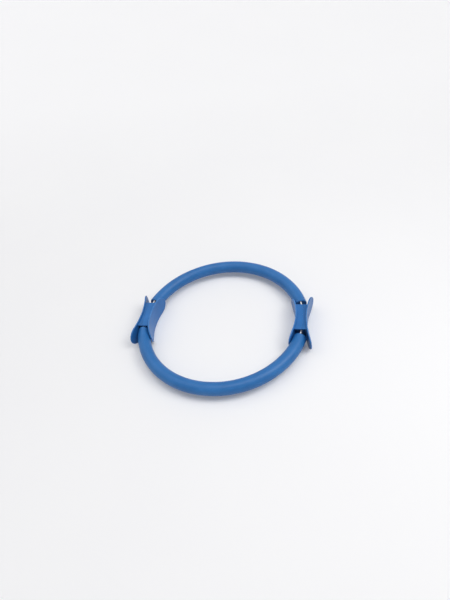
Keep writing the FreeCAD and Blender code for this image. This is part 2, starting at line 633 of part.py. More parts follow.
def clamp_screw(label, turn, side):
    """Screw along the handle's axis, its head outwards, at one of the handle's two holes."""
    body = new_body(label, turn)
    seat = FreeCAD.Vector(size("screw_seat_x"), side * size("screw_y"), size("mid_height"))
    body.Placement.Base = FreeCAD.Rotation(FreeCAD.Vector(0, 0, 1), turn).multVec(seat)
    facing = "-" if turn else ""
    across = "-" if (side < 0) != bool(turn) else ""
    body.setExpression("Placement.Base.x", f"{facing}{cell('screw_seat_x')}")
    body.setExpression("Placement.Base.y", f"{across}{cell('screw_y')}")
    profile = new_sketch(body, f"{label}_profile", "XZ_Plane")
    head, rim, radius = size("screw_head_height"), size("head_rim"), size("head_radius")
    shank, taper, length = size("shank_radius"), size("shank_end"), size("screw_length")
    corners = (
        point(-length, 0), point(-length, size("point_radius")), point(-taper, shank), point(0, shank),
        point(0, radius), point(rim, radius), point(head, size("head_top_radius")), point(head, 0),
    )
    tip, cone, side_line, seat_line, rim_line, slope, top, axis = add_polygon(profile, corners)
    make_upright(profile, tip, seat_line, top)
    make_level(profile, side_line, rim_line, axis)
    profile.addConstraint(Sketcher.Constraint("PointOnObject", tip, At.START, Own.H_AXIS))
    place_x(profile, tip, At.START, "screw_length", -1)
    place_y(profile, cone, At.START, "point_radius")
    place_x(profile, side_line, At.START, "shank_end", -1)
    place_y(profile, side_line, At.START, "shank_radius")
    profile.addConstraint(Sketcher.Constraint("PointOnObject", seat_line, At.START, Own.V_AXIS))
    place_y(profile, rim_line, At.START, "head_radius")
    place_x(profile, slope, At.START, "head_rim")
    place_x(profile, top, At.START, "screw_head_height")
    place_y(profile, top, At.START, "head_top_radius")
    spin = new_feature(body, "Revolution", f"{label}_turned", profile)
    spin.ReferenceAxis = (profile, ["H_Axis"])
    spin.Angle = 2 * HALF_TURN
    for name, arms in (("level", ("drive_half_length", "drive_half_width")),
                       ("upright", ("drive_half_width", "drive_half_length"))):
        slot = new_sketch(body, f"{label}_{name}_arm", "YZ_Plane")
        slot.AttachmentOffset = FreeCAD.Placement(FreeCAD.Vector(0, 0, head), FreeCAD.Rotation())
        slot.setExpression("AttachmentOffset.Base.z", cell("screw_head_height"))
        add_rectangle(slot, (arms[0], -1), (arms[0], 1), (arms[1], -1), (arms[1], 1))
        recess = new_feature(body, "Pocket", f"{label}_{name}_recess", slot)
        recess.setExpression("Length", cell("screw_drive_depth"))
    return body


nodes = [
    foam_sleeve("front_foam_sleeve", HALF_TURN, "front_right_turn", "front_left_turn"),
    foam_sleeve("rear_foam_sleeve", 0.0, "rear_left_turn", "rear_right_turn"),
    spring_band("front_spring_band", HALF_TURN),
    spring_band("rear_spring_band", 0.0),
]
for side_name, handle_turn in (("right", 0.0), ("left", HALF_TURN)):
    nodes.append(inner_grip(f"{side_name}_inner_grip", handle_turn))
    nodes.append(outer_grip(f"{side_name}_outer_grip", handle_turn))
    for end_name, along in (("front", -1), ("rear", 1)):
        screw_side = -along if handle_turn else along
        nodes.append(clamp_screw(f"{side_name}_{end_name}_screw", handle_turn, screw_side))
doc.recompute()

# Nothing is written unless every object is sound
for item in doc.Objects:
    if "Invalid" in item.State or "Error" in item.State:
        raise RuntimeError(f"{item.Name} failed: {item.State}")
for node in nodes:
    if node.Shape.isNull() or not node.Shape.isValid() or len(node.Shape.Solids) != 1:
        raise RuntimeError(f"{node.Label} is not one sound solid")

os.makedirs("parts", exist_ok=True)
for node in nodes:
    node.Shape.exportStep(f"parts/{node.Label}.step")
    box = node.Shape.optimalBoundingBox(False)
    extent = f"{box.XLength:.1f} x {box.YLength:.1f} x {box.ZLength:.1f} mm"
    print(f"{node.Label}: {node.Shape.Volume:.0f} mm3, {extent}")
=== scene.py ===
"""A pilates ring: a spring hoop in foam sleeves, clamped at both sides in moulded handles."""

from __future__ import annotations

import logging
import math
from abc import ABC, abstractmethod
from dataclasses import dataclass
from enum import Enum
from typing import Any, Sequence

import bmesh
import bpy
from mathutils import Matrix, Vector, noise


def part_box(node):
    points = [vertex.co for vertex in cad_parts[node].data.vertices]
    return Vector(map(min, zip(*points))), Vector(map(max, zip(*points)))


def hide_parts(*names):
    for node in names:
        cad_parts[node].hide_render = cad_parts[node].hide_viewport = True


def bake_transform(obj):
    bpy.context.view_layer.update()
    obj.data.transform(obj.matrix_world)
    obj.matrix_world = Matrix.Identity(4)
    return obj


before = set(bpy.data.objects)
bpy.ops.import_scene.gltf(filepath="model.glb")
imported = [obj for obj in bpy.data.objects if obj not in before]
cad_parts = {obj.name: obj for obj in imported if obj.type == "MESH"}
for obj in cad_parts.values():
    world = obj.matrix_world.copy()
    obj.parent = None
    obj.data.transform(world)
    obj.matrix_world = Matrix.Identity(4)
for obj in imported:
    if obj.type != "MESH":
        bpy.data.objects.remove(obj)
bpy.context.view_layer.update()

LOG = logging.getLogger("pilates_ring")
WHOLE_TURN = 2 * math.pi
QUARTER_TURN = math.pi / 2
UP = Vector((0, 0, 1))
# Corners nearer than this become one, in metres
MERGE_DISTANCE = 1e-6
# From the middle of a half to the end of each quarter, in metres, so that two quarters never touch
SEAM = 2e-6
# Edges that bend more than this keep a crease
SHARP = math.radians(40)
# Material slots of a foam sleeve
SKIN, CUT = 0, 1
# Whole range of a share, and the range that most of a noise's values lie in
UNIT = (0.0, 1.0)
NOISE_SPAN = (0.3, 0.7)

Colour = tuple[float, float, float]
Place = tuple[float, float, float]
Span = tuple[float, float]
Ring = list[Vector]
Socket = bpy.types.NodeSocket
Inputs = Sequence[tuple[int | str, Any]]


class Choice(Enum):
    """Named option that appears in the names of pieces."""

    @property
    def word(self) -> str:
        """The option in a piece's name."""
        return self.name.lower()


class Side(Choice):
    """Which handle a piece belongs to, as the sign of its place along X."""

    LEFT = -1
    RIGHT = 1


class Half(Choice):
    """Which half of the hoop a piece covers, as the sign of its place along Y."""

    FRONT = -1
    REAR = 1


class Pad(Choice):
    """Which half of a handle a piece is, with a factor on its plastic's colour: painted light on
    the inner half, painted shade on the outer half.
    """

    INNER = 1.08
    OUTER = 0.93


class Graph:
    """Node tree of one material, grown from its shader backwards."""

    def __init__(self, name: str) -> None:
        """Makes an empty material.

        Args:
            name: Name of the material.
        """
        self.material = bpy.data.materials.new(name)
        self.material.use_nodes = True
        self.tree = self.material.node_tree
        self.shader = next(node for node in self.tree.nodes if node.type == "BSDF_PRINCIPLED")

    def feed(self, socket: Socket, value: Any) -> None:
        """Links a socket to another one, or sets its value.

        Args:
            socket: Input to fill.
            value: Output socket to link, or a number, colour or vector.
        """
        if isinstance(value, Socket):
            self.tree.links.new(value, socket)
        elif isinstance(value, tuple) and socket.type == "RGBA":
            socket.default_value = (*value, 1.0)
        else:
            socket.default_value = value

    def fill(self, **inputs: Any) -> None:
        """Fills inputs of the shader, named with underscores for spaces."""
        for name, value in inputs.items():
            self.feed(self.shader.inputs[name.replace("_", " ")], value)

    def add(self, kind: str, inputs: Inputs, **settings: Any) -> bpy.types.Node:
        """Adds a node.

        Args:
            kind: Blender's name for the node's type.
            inputs: Pairs of an input's name or number and what feeds it.
            settings: Values of the node's own properties.

        Returns:
            The new node.
        """
        node = self.tree.nodes.new(kind)
        for name, value in settings.items():
            setattr(node, name, value)
        for name, value in inputs:
            self.feed(node.inputs[name], value)
        return node

    def calc(self, operation: str, first: Any, second: Any = 0.0) -> Socket:
        """Sum, product or other arithmetic of two values."""
        inputs = ((0, first), (1, second))
        return self.add("ShaderNodeMath", inputs, operation=operation).outputs[0]

    def total(self, *parts: tuple[Socket, float]) -> Socket:
        """Sum of values, each times its share.

        Args:
            parts: Sockets of the values, and their shares.

        Returns:
            The sum's socket.
        """
        first, *others = [self.calc("MULTIPLY", value, share) for value, share in parts]
        for other in others:
            first = self.calc("ADD", first, other)
        return first

    def vector(self, *parts: Any) -> Socket:
        """Vector of up to three values."""
        return self.add("ShaderNodeCombineXYZ", tuple(enumerate(parts))).outputs[0]

    def length(self, vector: Socket) -> Socket:
        """Length of a vector."""
        node = self.add("ShaderNodeVectorMath", ((0, vector),), operation="LENGTH")
        return node.outputs["Value"]

    def place(self) -> Socket:
        """Place on the piece, in metres in the part's frame."""
        return self.add("ShaderNodeTexCoord", ()).outputs["Object"]

    def axes(self) -> dict[str, Socket]:
        """Place on the piece, axis by axis."""
        node = self.add("ShaderNodeSeparateXYZ", ((0, self.place()),))
        return {socket.name: socket for socket in node.outputs}

    def hoop_place(self, along: float, across: float) -> Socket:
        """Place on the hoop: along its arc, and outwards and upwards across it.

        Args:
            along: Pattern repeats for each radian of arc.
            across: Pattern repeats for each metre across.

        Returns:
            The socket of a vector for a texture.
        """
        axes = self.axes()
        turn = self.calc("ARCTAN2", axes["Y"], axes["X"])
        reach = self.length(self.vector(axes["X"], axes["Y"]))
        return self.vector(
            self.calc("MULTIPLY", turn, along),
            self.calc("MULTIPLY", reach, across),
            self.calc("MULTIPLY", axes["Z"], across),
        )

    def noise(self, scale: float, detail: float = 2.0, place: Socket | None = None) -> Socket:
        """Smooth noise from 0 to 1.

        Args:
            scale: Repeats for each unit of the place.
            detail: Finer layers that are added.
            place: Where on the surface, or the place in metres if left out.

        Returns:
            The noise's socket.
        """
        inputs = (("Vector", place or self.place()), ("Scale", scale), ("Detail", detail))
        return self.add("ShaderNodeTexNoise", inputs).outputs[0]

    def streaks(self, along: float, across: float, detail: float) -> Socket:
        """Noise drawn out along the hoop.

        Args:
            along: Repeats for each radian of arc.
            across: Repeats for each metre across.
            detail: Finer layers that are added.

        Returns:
            The noise's socket.
        """
        return self.noise(1.0, detail, self.hoop_place(along, across))

    def cells(self, scale: float) -> Socket:
        """Distance from the middles of scattered cells.

        Args:
            scale: Cells for each metre.

        Returns:
            The distance's socket.
        """
        inputs = (("Vector", self.place()), ("Scale", scale))
        return self.add("ShaderNodeTexVoronoi", inputs).outputs["Distance"]

    def ramp(self, value: Socket, stops: Sequence[float], colours: Sequence[Colour]) -> Socket:
        """Colour that follows a value.

        Args:
            value: Socket from 0 to 1.
            stops: Values at which a colour is reached, in order.
            colours: The colour at each of them.

        Returns:
            The colour's socket.
        """
        node = self.add("ShaderNodeValToRGB", ((0, value),))
        elements = node.color_ramp.elements
        for stop in stops[2:]:
            elements.new(stop)
        for element, stop, colour in zip(elements, stops, colours):
            element.position = stop
            element.color = (*colour, 1.0)
        return node.outputs[0]

    def remap(self, value: Socket, source: Span, target: Span) -> Socket:
        """A value carried from one range to another, and kept inside it."""
        inputs = tuple(enumerate((value, *source, *target)))
        return self.add("ShaderNodeMapRange", inputs).outputs[0]

    def bump(self, height: Socket, depth: float, under: Socket | None = None) -> Socket:
        """Surface relief.

        Args:
            height: Socket from 0 to 1.
            depth: Height of the relief in metres.
            under: Relief that this one lies on.

        Returns:
            The normal's socket.
        """
        inputs = [("Height", height), ("Distance", depth), ("Strength", 1.0)]
        if under is not None:
            inputs.append(("Normal", under))
        return self.add("ShaderNodeBump", inputs).outputs[0]


def seen_rays(tree: bpy.types.NodeTree) -> Socket:
    """Whether a ray looks straight at the studio, mirrors it or passes through to it.

    Args:
        tree: Node tree of the floor or the sky.

    Returns:
        The socket of 1 for such a ray and 0 for one that lights the part.
    """
    rays = tree.nodes.new("ShaderNodeLightPath").outputs
    seen = rays["Is Camera Ray"]
    for kind in ("Is Glossy Ray", "Is Transmission Ray"):
        either = tree.nodes.new("ShaderNodeMath")
        either.operation = "MAXIMUM"
        tree.links.new(seen, either.inputs[0])
        tree.links.new(rays[kind], either.inputs[1])
        seen = either.outputs[0]
    return seen


class Finish(ABC):
    """Look of one kind of surface."""

    @abstractmethod
    def material(self) -> bpy.types.Material:
        """Material of this finish."""


@dataclass(frozen=True)
class FoamSkin(Finish):
    """Smooth skin of closed-cell foam: mottled, with fine pores darkened as painted shade in the
    pits, and long faint rub marks.
    """

    deep: Colour = (0.012, 0.11, 0.33)
    usual: Colour = (0.02, 0.151, 0.418)
    pale: Colour = (0.038, 0.193, 0.5)
    tone_stops: tuple[float, ...] = (0.2, 0.5, 0.85)
    cloud_scale: float = 26.0
    cloud_share: float = 0.7
    grain_scale: float = 1500.0
    grain_share: float = 0.3
    rub_along: float = 9.0
    rub_across: float = 260.0
    rub_span: Span = (0.58, 0.8)
    rub_share: float = 0.22
    pore_scale: float = 620.0
    pore_span: Span = (0.05, 0.3)
    pore_shade: Span = (0.86, 1.0)
    pore_depth: float = 0.00002
    dent_scale: float = 95.0
    dent_depth: float = 0.00012
    sheen_span: Span = (0.3, 1.2)
    roughness: Span = (0.38, 0.52)
    specular: float = 0.38

    def material(self) -> bpy.types.Material:
        """Material of the sleeves' outside.

        Returns:
            The material.
        """
        graph = Graph("foam_skin")
        clouds = graph.noise(self.cloud_scale, detail=3.0)
        grain = graph.noise(self.grain_scale)
        pores = graph.remap(graph.cells(self.pore_scale), self.pore_span, UNIT)
        streaks = graph.streaks(self.rub_along, self.rub_across, detail=3.0)
        rubs = graph.remap(streaks, self.rub_span, UNIT)
        shares = (self.cloud_share, self.grain_share, self.rub_share)
        tone = graph.total(*zip((clouds, grain, rubs), shares))
        # Pores darkened: painted shade in the pits
        tone = graph.calc("MULTIPLY", tone, graph.remap(pores, UNIT, self.pore_shade))
        relief = graph.bump(graph.noise(self.dent_scale), self.dent_depth)
        relief = graph.bump(graph.calc("ADD", grain, pores), self.pore_depth, relief)
        sheen = graph.calc("ADD", rubs, clouds)
        graph.fill(
            Base_Color=graph.ramp(tone, self.tone_stops, (self.deep, self.usual, self.pale)),
            Roughness=graph.remap(sheen, self.sheen_span, self.roughness),
            Normal=relief,
            Specular_IOR_Level=self.specular,
        )
        return graph.material


@dataclass(frozen=True)
class CutFoam(Finish):
    """Open cells where a foam tube is cut across, darker in the middles of the cells as painted
    shade.
    """

    wall: Colour = (0.06, 0.19, 0.44)
    hollow: Colour = (0.02, 0.085, 0.24)
    cell_scale: float = 900.0
    cell_span: Span = (0.1, 0.55)
    cell_depth: float = 0.00025
    patch_scale: float = 240.0
    patch_shade: Span = (0.7, 1.0)
    roughness: float = 0.85
    specular: float = 0.25

    def material(self) -> bpy.types.Material:
        """Material of the sleeves' ends and bores.

        Returns:
            The material.
        """
        graph = Graph("cut_foam")
        cells = graph.remap(graph.cells(self.cell_scale), self.cell_span, UNIT)
        patches = graph.remap(graph.noise(self.patch_scale), NOISE_SPAN, self.patch_shade)
        # Cells darker towards their middles as painted shade in the pits, times random patches
        shade = graph.calc("MULTIPLY", cells, patches)
        graph.fill(
            Base_Color=graph.ramp(shade, UNIT, (self.hollow, self.wall)),
            Normal=graph.bump(cells, self.cell_depth),
            Roughness=self.roughness,
            Specular_IOR_Level=self.specular,
        )
        return graph.material


@dataclass(frozen=True)
class MouldedPlastic(Finish):
    """Satin moulded plastic with a fine spark-eroded grain, lighter along the pads' rims: wear, and
    a painted highlight where the rounded rims catch the light.
    """

    name: str
    pad_half: float
    rim_height: float
    mid_height: float
    # Factor on all colours of this half: painted light on the inner half, painted shade on the
    # outer half
    lightness: float
    deep: Colour = (0.014, 0.117, 0.35)
    usual: Colour = (0.025, 0.158, 0.443)
    rubbed: Colour = (0.085, 0.266, 0.6)
    tone_stops: tuple[float, ...] = (0.12, 0.42, 0.95)
    cloud_scale: float = 34.0
    cloud_share: float = 0.5
    grain_scale: float = 2600.0
    grain_share: float = 0.14
    grain_depth: float = 0.000018
    scratch_along: float = 14.0
    scratch_across: float = 420.0
    scratch_span: Span = (0.62, 0.78)
    scratch_share: float = 0.08
    rub_width: float = 0.0014
    rub_scale: float = 160.0
    rub_strength: Span = (0.35, 1.0)
    # Share of the rims' wear and painted highlight in the tone
    rub_share: float = 0.45
    wave_scale: float = 60.0
    wave_depth: float = 0.00008
    sheen_span: Span = (0.2, 1.4)
    roughness: Span = (0.3, 0.44)
    specular: float = 0.34

    @classmethod
    def for_pad(cls, pad: Pad, mid_height: float) -> MouldedPlastic:
        """Finish of the inner or the outer half handles.

        Args:
            pad: Which of the halves.
            mid_height: Height of the ring's plane above the floor.

        Returns:
            The finish, with its lighter rim, worn and with a painted highlight, where that pad's
            rim lies.
        """
        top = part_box(f"right_{pad.word}_grip")[1]
        return cls(f"{pad.word}_plastic", top.y, top.z - mid_height, mid_height, pad.value)

    def rim(self, graph: Graph) -> Socket:
        """How near a point lies to the pads' rim, from 0 inside to 1 on the rim, where the wear and
        painted highlight lie.

        Args:
            graph: Graph of the material.

        Returns:
            The share's socket.
        """
        axes = graph.axes()
        straight_half = self.pad_half - self.rim_height
        along = graph.calc("SUBTRACT", graph.calc("ABSOLUTE", axes["Y"]), straight_half)
        past_straight = graph.calc("MAXIMUM", along)
        height = graph.calc("SUBTRACT", axes["Z"], self.mid_height)
        reach = graph.length(graph.vector(past_straight, height))
        return graph.remap(reach, (self.rim_height - self.rub_width, self.rim_height), UNIT)

    def colours(self) -> list[Colour]:
        """Colours of this half, from its deepest to its rim's wear and painted highlight, times the
        half's factor of painted light or shade.
        """
        colours = (self.deep, self.usual, self.rubbed)
        # Painted light or shade of this half, as a factor on its colours
        return [tuple(self.lightness * part for part in colour) for colour in colours]

    def material(self) -> bpy.types.Material:
        """Material of the half handles.

        Returns:
            The material.
        """
        graph = Graph(self.name)
        clouds = graph.noise(self.cloud_scale, detail=3.0)
        grain = graph.noise(self.grain_scale)
        streaks = graph.streaks(self.scratch_along, self.scratch_across, detail=3.0)
        scratches = graph.remap(streaks, self.scratch_span, UNIT)
        strength = graph.remap(graph.noise(self.rub_scale), NOISE_SPAN, self.rub_strength)
        # Lighter band along the rims: wear, and painted highlight where the rounded rims catch the
        # light
        rubs = graph.calc("MULTIPLY", self.rim(graph), strength)
        shares = (self.cloud_share, self.grain_share, self.scratch_share, self.rub_share)
        tone = graph.total(*zip((clouds, grain, scratches, rubs), shares))
        relief = graph.bump(graph.noise(self.wave_scale, detail=1.0), self.wave_depth)
        relief = graph.bump(grain, self.grain_depth, relief)
        sheen = graph.calc("ADD", clouds, scratches)
        graph.fill(
            Base_Color=graph.ramp(tone, self.tone_stops, self.colours()),
            Roughness=graph.remap(sheen, self.sheen_span, self.roughness),
            Normal=relief,
            Specular_IOR_Level=self.specular,
        )
        return graph.material


@dataclass(frozen=True)
class GlassFibre(Finish):
    """Drawn glass-fibre strip: off-white, with fibres along its length under clear resin."""

    resin: Colour = (0.9, 0.905, 0.89)
    fibre: Colour = (0.97, 0.97, 0.965)
    tone_stops: tuple[float, ...] = (0.3, 0.65)
    strand_along: float = 6.0
    strand_across: float = 1900.0
    strand_depth: float = 0.00002
    roughness: Span = (0.28, 0.42)
    specular: float = 0.5

    def material(self) -> bpy.types.Material:
        """Material of the spring bands.

        Returns:
            The material.
        """
        graph = Graph("glass_fibre")
        strands = graph.streaks(self.strand_along, self.strand_across, detail=4.0)
        graph.fill(
            Base_Color=graph.ramp(strands, self.tone_stops, (self.resin, self.fibre)),
            Roughness=graph.remap(strands, NOISE_SPAN, self.roughness),
            Normal=graph.bump(strands, self.strand_depth),
            Specular_IOR_Level=self.specular,
        )
        return graph.material


@dataclass(frozen=True)
class PlatedSteel(Finish):
    """Bright zinc-plated steel with fine wear."""

    dull: Colour = (0.42, 0.43, 0.45)
    bright: Colour = (0.66, 0.67, 0.69)
    wear_scale: float = 900.0
    grain_scale: float = 2400.0
    grain_depth: float = 0.00001
    roughness: Span = (0.25, 0.42)

    def material(self) -> bpy.types.Material:
        """Material of the clamp screws.

        Returns:
            The material.
        """
        graph = Graph("plated_steel")
        wear = graph.noise(self.wear_scale, detail=3.0)
        graph.fill(
            Base_Color=graph.ramp(wear, NOISE_SPAN, (self.dull, self.bright)),
            Roughness=graph.remap(wear, NOISE_SPAN, self.roughness),
            Normal=graph.bump(graph.noise(self.grain_scale), self.grain_depth),
            Metallic=1.0,
        )
        return graph.material


@dataclass(frozen=True)
class PaleFloor(Finish):
    """Plain pale floor, faintly uneven, and a little lighter to the eye behind the part."""

    shade: Colour = (0.88, 0.876, 0.879)
    light: Colour = (0.893, 0.889, 0.889)
    cloud_scale: float = 3.0
    lift: Span = (0.07, 0.135)
    lift_span: Span = (0.15, 1.3)
    roughness: float = 0.6
    specular: float = 0.2

    def material(self) -> bpy.types.Material:
        """Material of the floor.

        Returns:
            The material.
        """
        graph = Graph("pale_floor")
        clouds = graph.noise(self.cloud_scale)
        lift = graph.remap(graph.axes()["Y"], self.lift_span, self.lift)
        graph.fill(
            Base_Color=graph.ramp(clouds, NOISE_SPAN, (self.shade, self.light)),
            Roughness=self.roughness,
            Specular_IOR_Level=self.specular,
            Emission_Color=(1.0, 1.0, 1.0),
            Emission_Strength=graph.calc("MULTIPLY", seen_rays(graph.tree), lift),
        )
        return graph.material


@dataclass(frozen=True)
class HoopSizes:
    """Sizes that the hoop's pieces share, in metres and in radians from a handle's middle."""

    ring_radius: float
    mid_height: float
    tube_radius: float
    band_half_height: float
    neck_radius: float = 0.012
    neck_turns: Span = (math.radians(10.2), math.radians(16.2))
    bend_start: float = math.radians(20)
    bend_end: float = math.radians(82)

    @classmethod
    def from_frame(cls) -> HoopSizes:
        """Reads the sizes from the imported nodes.

        Returns:
            The hoop's sizes.
        """
        low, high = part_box("front_foam_sleeve")
        band_low, band_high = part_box("front_spring_band")
        tube_radius = (high.z - low.z) / 2
        return cls(
            ring_radius=-low.y - tube_radius,
            mid_height=(low.z + high.z) / 2,
            tube_radius=tube_radius,
            band_half_height=(band_high.z - band_low.z) / 2,
        )

    def on_hoop(self, side: Side, half: Half, turn: float) -> Vector:
        """Point on the hoop's middle line.

        Args:
            side: Handle that the turn starts from.
            half: Half of the hoop that the turn goes into.
            turn: Angle from the handle's middle, in radians.

        Returns:
            The point.
        """
        x = side.value * self.ring_radius * math.cos(turn)
        y = half.value * self.ring_radius * math.sin(turn)
        return Vector((x, y, self.mid_height))

    def bend(self, piece: bpy.types.Object, side: Side, half: Half) -> None:
        """Bakes a quarter's placement into its mesh.

        Args:
            piece: Quarter whose placement is baked into its mesh.
            side: Handle that holds its end; not used.
            half: Half of the hoop that it belongs to; not used.
        """
        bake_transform(piece)


def add_object(name: str, data: bpy.types.ID) -> bpy.types.Object:
    """Puts a mesh, a light or a camera in the scene.

    Args:
        name: Name of the object.
        data: What it shows.

    Returns:
        The object.
    """
    item = bpy.data.objects.new(name, data)
    bpy.context.scene.collection.objects.link(item)
    return item


@dataclass
class FoamSleeve:
    """Foam cover of one half of the hoop, in two quarters that meet at the half's middle."""

    hoop: HoopSizes
    half: Half
    skin: bpy.types.Material
    cut: bpy.types.Material
    around: int = 72
    step: float = math.radians(0.6)
    bore_half_width: float = 0.004
    bore_clearance: float = 0.0003
    lip_radius: float = 0.0016
    lip_steps: int = 5
    swell: float = 0.0027
    unevenness: float = 0.00011
    unevenness_scale: float = 42.0

    @property
    def node(self) -> str:
        """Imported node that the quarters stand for."""
        return f"{self.half.word}_foam_sleeve"

    def end_turn(self, side: Side) -> float:
        """Angle from a handle's middle to this sleeve's end there.

        Args:
            side: Handle at that end.

        Returns:
            The angle in radians.
        """
        corners = [vertex.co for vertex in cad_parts[self.node].data.vertices]
        nearest = min(abs(corner.y) for corner in corners if corner.x * side.value > 0)
        return math.asin(nearest / (self.hoop.ring_radius - self.hoop.neck_radius))

    def squeeze(self, turn: float) -> float:
        """How far the pads squeeze the tube, from 1 in the handle to 0 clear of it.

        Args:
            turn: Angle from the handle's middle.

        Returns:
            The share of the whole squeeze.
        """
        narrow, full = self.hoop.neck_turns
        share = min(max((turn - narrow) / (full - narrow), 0.0), 1.0)
        return 1 - share * share * (3 - 2 * share)

    def half_width(self, turn: float) -> float:
        """Half of the tube's width across the hoop, drawn in where the pads hold it."""
        full = self.hoop.tube_radius
        return full - (full - self.hoop.neck_radius) * self.squeeze(turn)

    def half_height(self, turn: float) -> float:
        """Half of the tube's height, swollen where the pads hold it."""
        return self.hoop.tube_radius + self.swell * self.squeeze(turn) ** 2

    def section_point(self, side: Side, turn: float, outward: float, upward: float) -> Vector:
        """Point of a cross-section.

        Args:
            side: Handle that the turn starts from.
            turn: Angle of the section from the handle's middle.
            outward: Distance from the hoop's middle line, away from the ring's centre.
            upward: Distance above the ring's plane.

        Returns:
            The point.
        """
        middle = self.hoop.on_hoop(side, self.half, turn)
        away = Vector((middle.x, middle.y, 0)).normalized()
        return middle + away * outward + UP * upward

    def skin_point(self, side: Side, turn: float, around: float) -> Vector:
        """Point of the tube's slightly uneven outside.

        Args:
            side: Handle that the turn starts from.
            turn: Angle from the handle's middle.
            around: Angle round the tube, from its outermost line upwards.

        Returns:
            The point.
        """
        outward = self.half_width(turn) * math.cos(around)
        upward = self.half_height(turn) * math.sin(around)
        point = self.section_point(side, turn, outward, upward)
        rise = self.unevenness * noise.noise(point * self.unevenness_scale)
        away = point - self.hoop.on_hoop(side, self.half, turn)
        return point + away.normalized() * rise

    def angles(self) -> list[float]:
        """Angles round the tube, one for each column of the mesh."""
        return [WHOLE_TURN * column / self.around for column in range(self.around)]

    def oval(self, side: Side, turn: float, half_width: float, half_height: float) -> Ring:
        """Oval outline in a cross-section.

        Args:
            side: Handle that the turn starts from.
            turn: Angle of the section from the handle's middle.
            half_width: Half of the oval's width across the hoop.
            half_height: Half of its height.

        Returns:
            The outline's points.
        """
        ring = []
        for angle in self.angles():
            outward, upward = half_width * math.cos(angle), half_height * math.sin(angle)
            ring.append(self.section_point(side, turn, outward, upward))
        return ring

    def bore_ring(self, side: Side, turn: float) -> Ring:
        """Outline of the bore that the band lies in."""
        half_height = self.hoop.band_half_height + self.bore_clearance
        return self.oval(side, turn, self.bore_half_width, half_height)

    def lip_ring(self, side: Side, share: float, end: float) -> Ring:
        """Outline on the rounded edge of the sleeve's end.

        Args:
            side: Handle at that end.
            share: Part of the rounding that is done, from 0 to 1.
            end: Angle of the sleeve's end.

        Returns:
            The outline's points.
        """
        bend = share * QUARTER_TURN
        turn = end + self.lip_radius * (1 - math.sin(bend)) / self.hoop.ring_radius
        drawn_in = self.lip_radius * (1 - math.cos(bend))
        half_width = self.half_width(turn) - drawn_in
        return self.oval(side, turn, half_width, self.half_height(turn) - drawn_in)

    def rings(self, side: Side) -> tuple[list[Ring], int]:
        """Outlines of a quarter: along its skin to the handle, over its lip and back in the bore.

        Args:
            side: Handle that the quarter runs to.

        Returns:
            The outlines, and how many of them lie on the skin and the lip.
        """
        end = self.end_turn(side)
        skin_end = end + self.lip_radius / self.hoop.ring_radius
        middle = QUARTER_TURN - SEAM / self.hoop.ring_radius
        count = round((middle - skin_end) / self.step)
        turns = [middle + (skin_end - middle) * row / count for row in range(count + 1)]
        angles = self.angles()
        outside = [[self.skin_point(side, turn, angle) for angle in angles] for turn in turns]
        for step in range(1, self.lip_steps + 1):
            outside.append(self.lip_ring(side, step / self.lip_steps, end))
        bore = [self.bore_ring(side, turn) for turn in (end, *reversed(turns[:-1]))]
        return outside + bore, len(outside)

    def faces(self, rows: int) -> list[list[int]]:
        """Faces from each outline to the next, and from the last one to the first.

        Args:
            rows: Number of outlines.

        Returns:
            The numbers of each face's corners, row by row.
        """
        faces = []
        for row in range(rows):
            here, there = row * self.around, (row + 1) % rows * self.around
            for column in range(self.around):
                beside = (column + 1) % self.around
                faces.append([here + column, here + beside, there + beside, there + column])
        return faces

    def build_quarter(self, side: Side) -> bpy.types.Object:
        """Quarter of the hoop's cover: a closed skin with a bore for the band.

        Args:
            side: Handle that the quarter runs to.

        Returns:
            The piece.
        """
        rings, outside = self.rings(side)
        points = [point for ring in rings for point in ring]
        mesh = bpy.data.meshes.new(f"{self.half.word}_{side.word}_foam")
        mesh.from_pydata(points, [], self.faces(len(rings)))
        mesh.materials.append(self.skin)
        mesh.materials.append(self.cut)
        for polygon in mesh.polygons:
            row = polygon.index // self.around
            polygon.material_index = SKIN if row < outside - 1 else CUT
            polygon.use_smooth = True
        self.orient(mesh)
        self.smooth_middle(mesh, side)
        return add_object(mesh.name, mesh)

    @staticmethod
    def orient(mesh: bpy.types.Mesh) -> None:
        """Turns a closed mesh's faces outwards, and keeps its cut edges sharp.

        Args:
            mesh: Mesh to mend.
        """
        form = bmesh.new()
        form.from_mesh(mesh)
        bmesh.ops.recalc_face_normals(form, faces=form.faces)
        for edge in form.edges:
            edge.smooth = edge.calc_face_angle() < SHARP
        form.to_mesh(mesh)
        form.free()

    def middle_normal(self, side: Side, angle: float) -> Vector:
        """Outward direction of the skin at the middle of the half, the same from both quarters.

        Args:
            side: Handle that the quarter runs to.
            angle: Angle round the tube.

        Returns:
            The direction.
        """
        nudge = 0.01
        ahead = self.skin_point(side, QUARTER_TURN + nudge, angle)
        behind = self.skin_point(side, QUARTER_TURN - nudge, angle)
        over = self.skin_point(side, QUARTER_TURN, angle + nudge)
        under = self.skin_point(side, QUARTER_TURN, angle - nudge)
        normal = (ahead - behind).cross(over - under).normalized()
        outward = over - self.hoop.on_hoop(side, self.half, QUARTER_TURN)
        return normal if normal.dot(outward) > 0 else -normal

    def smooth_middle(self, mesh: bpy.types.Mesh, side: Side) -> None:
        """Shades the skin's first row as one surface with the quarter beyond it.

        Args:
            mesh: Mesh of the quarter.
            side: Handle that the quarter runs to.
        """
        unset = Vector((0, 0, 0))
        first_row = [self.middle_normal(side, angle) for angle in self.angles()]
        normals = [unset] * len(mesh.loops)
        for polygon in mesh.polygons:
            if polygon.material_index == SKIN:
                for index in polygon.loop_indices:
                    vertex = mesh.loops[index].vertex_index
                    normals[index] = first_row[vertex] if vertex < self.around else unset
        mesh.normals_split_custom_set(normals)

    def build(self) -> None:
        """Builds both quarters and fits them to the frame."""
        for side in Side:
            piece = self.build_quarter(side)
            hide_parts(self.node)
            self.hoop.bend(piece, side, self.half)
            LOG.info("%s: %d faces", piece.name, len(piece.data.polygons))


